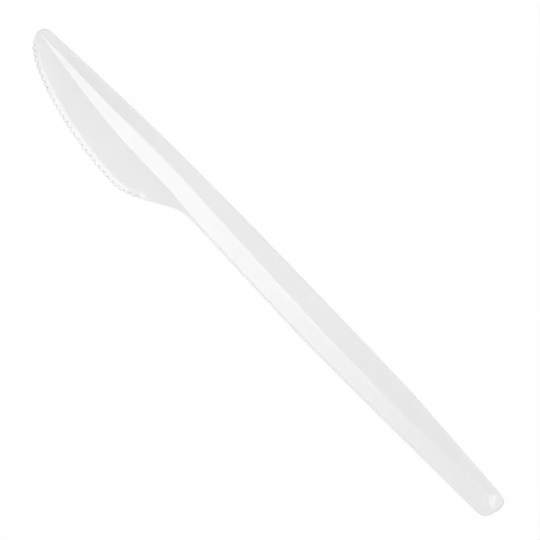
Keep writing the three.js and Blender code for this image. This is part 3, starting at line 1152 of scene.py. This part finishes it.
@dataclass(frozen=True)
class MouldedPolystyrene:
    """White polystyrene as it leaves the mould: bright, faintly cloudy and half glossy."""

    white: str = "f1f1f0"
    cloud: str = "ebecec"
    cloud_size: float = 9.0
    roughness: tuple[float, float] = (0.19, 0.27)
    patch_size: float = 3.0
    grain_size: float = 0.5
    grain_height: float = 0.004
    grain_strength: float = 0.25
    refraction: float = 1.59
    milkiness: float = 0.12
    milk_depth: float = 0.6

    def make(self) -> bpy.types.Material:
        """Builds the material.

        Returns:
            The material, with patterns on the piece's own coordinates.
        """
        material = bpy.data.materials.new("moulded_polystyrene")
        material.use_nodes = True
        tree = material.node_tree
        tree.nodes.clear()
        place = add_node(tree, "ShaderNodeTexCoord", {}).outputs["Object"]
        patterns = []
        for size, detail in ((self.cloud_size, 2.0), (self.patch_size, 3.0), (self.grain_size, 2.0)):
            scale = 1 / (size * MM)
            noise = add_node(tree, "ShaderNodeTexNoise", {}, Vector=place, Scale=scale, Detail=detail)
            patterns.append(noise.outputs["Fac"])
        clouds, patches, grit = patterns
        # Flow of the melt leaves the white faintly uneven
        colour = add_node(
            tree,
            "ShaderNodeMix",
            {"data_type": "RGBA"},
            Factor=clouds,
            i6=linear(self.white),
            i7=linear(self.cloud),
        )
        # The polished tool gives a half gloss that changes from patch to patch
        gloss = add_node(
            tree,
            "ShaderNodeMapRange",
            {},
            Value=patches,
            To_Min=self.roughness[0],
            To_Max=self.roughness[1],
        )
        # The tool's texture is a few hundredths of a millimetre wide, and is drawn coarser to show
        grain = add_node(
            tree,
            "ShaderNodeBump",
            {},
            Strength=self.grain_strength,
            Distance=self.grain_height * MM,
            Height=grit,
        )
        # Polystyrene bends light strongly, and its white lets a little of it in at thin edges
        shader = add_node(
            tree,
            "ShaderNodeBsdfPrincipled",
            {},
            Base_Color=colour.outputs[2],
            Roughness=gloss.outputs[0],
            Normal=grain.outputs[0],
            IOR=self.refraction,
            Subsurface_Weight=self.milkiness,
            Subsurface_Radius=(1.0, 1.0, 0.95),
            Subsurface_Scale=self.milk_depth * MM,
        )
        add_node(tree, "ShaderNodeOutputMaterial", {}, Surface=shader.outputs[0])
        return material


@dataclass(frozen=True)
class SoftLamp:
    """A soft box on a stand: place and aim in metres, width and height in metres, power in watts."""

    name: str
    place: tuple[float, float, float]
    aim: tuple[float, float, float]
    size: tuple[float, float]
    power: float

    def hang(self) -> None:
        """Hangs the lamp in the studio."""
        light = bpy.data.lights.new(self.name, "AREA")
        light.shape = "RECTANGLE"
        light.size, light.size_y = self.size
        light.energy = self.power
        lamp = bpy.data.objects.new(self.name, light)
        lamp.location = self.place
        lamp.rotation_mode = "QUATERNION"
        lamp.rotation_quaternion = (Vector(self.aim) - Vector(self.place)).to_track_quat("-Z", "Y")
        bpy.context.scene.collection.objects.link(lamp)


@dataclass
class Studio:
    """White table, soft lamps and a camera straight above the knife."""

    view_width: float = 134.16
    view_turn: float = 46.777
    view_middle: tuple[float, float] = (0.07, 4.535)
    camera_height: float = 1.5
    sensor: float = 36.0
    table_size: float = 6.0
    table_gap: float = 0.02
    sky_strength: float = 0.59
    table_white: str = "f4f4f4"
    table_bounce: str = "8c8c8c"
    table_glow: float = 0.96
    lamps: tuple[SoftLamp, ...] = (
        SoftLamp("wide_top", (0.0, 0.0, 1.8), (0.0, 0.0, 0.0), (3.2, 3.2), 2.43),
        SoftLamp("spine_fill", (0.0, 0.6, 0.1), (0.0, 0.0, 0.0), (0.6, 0.1), 0.68),
        SoftLamp("neck_fill", (-0.015, 0.2, 0.2), (-0.015, 0.004, 0.0), (0.1, 0.08), 0.029),
        SoftLamp("low_key", (-0.06, -0.42, 0.3), (-0.06, 0.0, 0.0), (0.3, 0.2), 0.295),
        SoftLamp("high_key", (-0.1, -0.24, 0.42), (-0.1, 0.0, 0.0), (0.24, 0.16), 0.28),
        SoftLamp("near_key", (-0.06, -0.17, 0.18), (-0.06, 0.0, 0.0), (0.16, 0.09), 0.042),
        SoftLamp("tip_key", (-0.27, -0.16, 0.19), (-0.075, -0.004, 0.0), (0.06, 0.06), 0.03),
        SoftLamp("ridge_key", (0.025, -0.25, 0.33), (0.025, 0.0, 0.0), (0.05, 0.03), 0.037),
        SoftLamp("end_fill", (0.45, 0.04, 0.35), (0.08, 0.0, 0.0), (0.2, 0.25), 0.186),
        SoftLamp("end_spot", (0.15, 0.048, 0.098), (0.08, 0.003, 0.0), (0.03, 0.03), 0.0085),
    )

    def build(self) -> None:
        """Builds the table, the sky, the lamps and the camera."""
        self._table()
        self._sky()
        for lamp in self.lamps:
            lamp.hang()
        self._camera()
        bpy.context.scene.view_settings.view_transform = "Standard"

    def _table(self) -> None:
        """Lays the white table, which shows white to the camera and keeps the knife's shadow."""
        half = self.table_size / 2
        mesh = bpy.data.meshes.new("table")
        corners = [(-half, -half, 0.0), (half, -half, 0.0), (half, half, 0.0), (-half, half, 0.0)]
        mesh.from_pydata(corners, [], [(0, 1, 2, 3)])
        table = bpy.data.objects.new("table", mesh)
        table.location.z = -self.table_gap * MM
        bpy.context.scene.collection.objects.link(table)
        material = bpy.data.materials.new("white_laminate")
        material.use_nodes = True
        tree = material.node_tree
        tree.nodes.clear()
        seen = self._seen(tree)
        # A pale matt top for the eye, which sends less light back up to the knife's sides
        colour = add_node(
            tree,
            "ShaderNodeMix",
            {"data_type": "RGBA"},
            Factor=seen,
            i6=linear(self.table_bounce),
            i7=linear(self.table_white),
        )
        matt = add_node(tree, "ShaderNodeBsdfDiffuse", {}, Color=colour.outputs[2])
        glow = add_node(tree, "ShaderNodeEmission", {}, Color=(1.0, 1.0, 1.0, 1.0), Strength=1.0)
        share = add_node(tree, "ShaderNodeMath", {"operation": "MULTIPLY"}, i0=seen, i1=self.table_glow)
        mixed = add_node(
            tree,
            "ShaderNodeMixShader",
            {},
            i0=share.outputs[0],
            i1=matt.outputs[0],
            i2=glow.outputs[0],
        )
        add_node(tree, "ShaderNodeOutputMaterial", {}, Surface=mixed.outputs[0])
        mesh.materials.append(material)

    def _seen(self, tree: bpy.types.NodeTree) -> bpy.types.NodeSocket:
        """Tells whether a surface is seen straight on, in a gloss or through clear material.

        Args:
            tree: the node tree that asks.

        Returns:
            The socket, one where it is seen and zero where it only lights other things.
        """
        path = add_node(tree, "ShaderNodeLightPath", {}).outputs
        seen = path["Is Camera Ray"]
        for kind in ("Is Glossy Ray", "Is Transmission Ray"):
            adds = {"operation": "ADD", "use_clamp": True}
            seen = add_node(tree, "ShaderNodeMath", adds, i0=seen, i1=path[kind]).outputs[0]
        return seen

    def _sky(self) -> None:
        """Sets the soft light from all round, which the camera sees as white."""
        world = bpy.data.worlds.new("soft_tent")
        world.use_nodes = True
        tree = world.node_tree
        tree.nodes.clear()
        plain = (1.0, 1.0, 1.0, 1.0)
        tent = add_node(tree, "ShaderNodeBackground", {}, Color=plain, Strength=self.sky_strength)
        white = add_node(tree, "ShaderNodeBackground", {}, Color=plain, Strength=1.0)
        mixed = add_node(
            tree,
            "ShaderNodeMixShader",
            {},
            i0=self._seen(tree),
            i1=tent.outputs[0],
            i2=white.outputs[0],
        )
        add_node(tree, "ShaderNodeOutputWorld", {}, Surface=mixed.outputs[0])
        bpy.context.scene.world = world

    def _camera(self) -> None:
        """Sets the camera straight above, turned so that the knife lies across the picture."""
        data = bpy.data.cameras.new("camera")
        data.sensor_width = self.sensor
        data.lens = self.sensor * self.camera_height / (self.view_width * MM)
        data.clip_end = 20.0
        camera = bpy.data.objects.new("camera", data)
        camera.location = (self.view_middle[0] * MM, self.view_middle[1] * MM, self.camera_height)
        camera.rotation_euler = (0.0, 0.0, math.radians(self.view_turn))
        bpy.context.scene.collection.objects.link(camera)
        bpy.context.scene.camera = camera


def main() -> None:
    """Builds the knife and the studio, and reports each piece."""
    logging.basicConfig(level=logging.INFO, format="%(name)s: %(message)s")
    outline = Outline()
    body = KnifeBody(outline, Roof(outline))
    piece = body.build("knife_moulding")
    body.dress(piece, MouldedPolystyrene().make())
    LOG.info("%s: %d points, %d faces", piece.name, len(piece.data.vertices), len(piece.data.polygons))
    Studio().build()
    LOG.info("studio: white table, soft lamps, camera above")


if __name__ == "__main__":
    main()
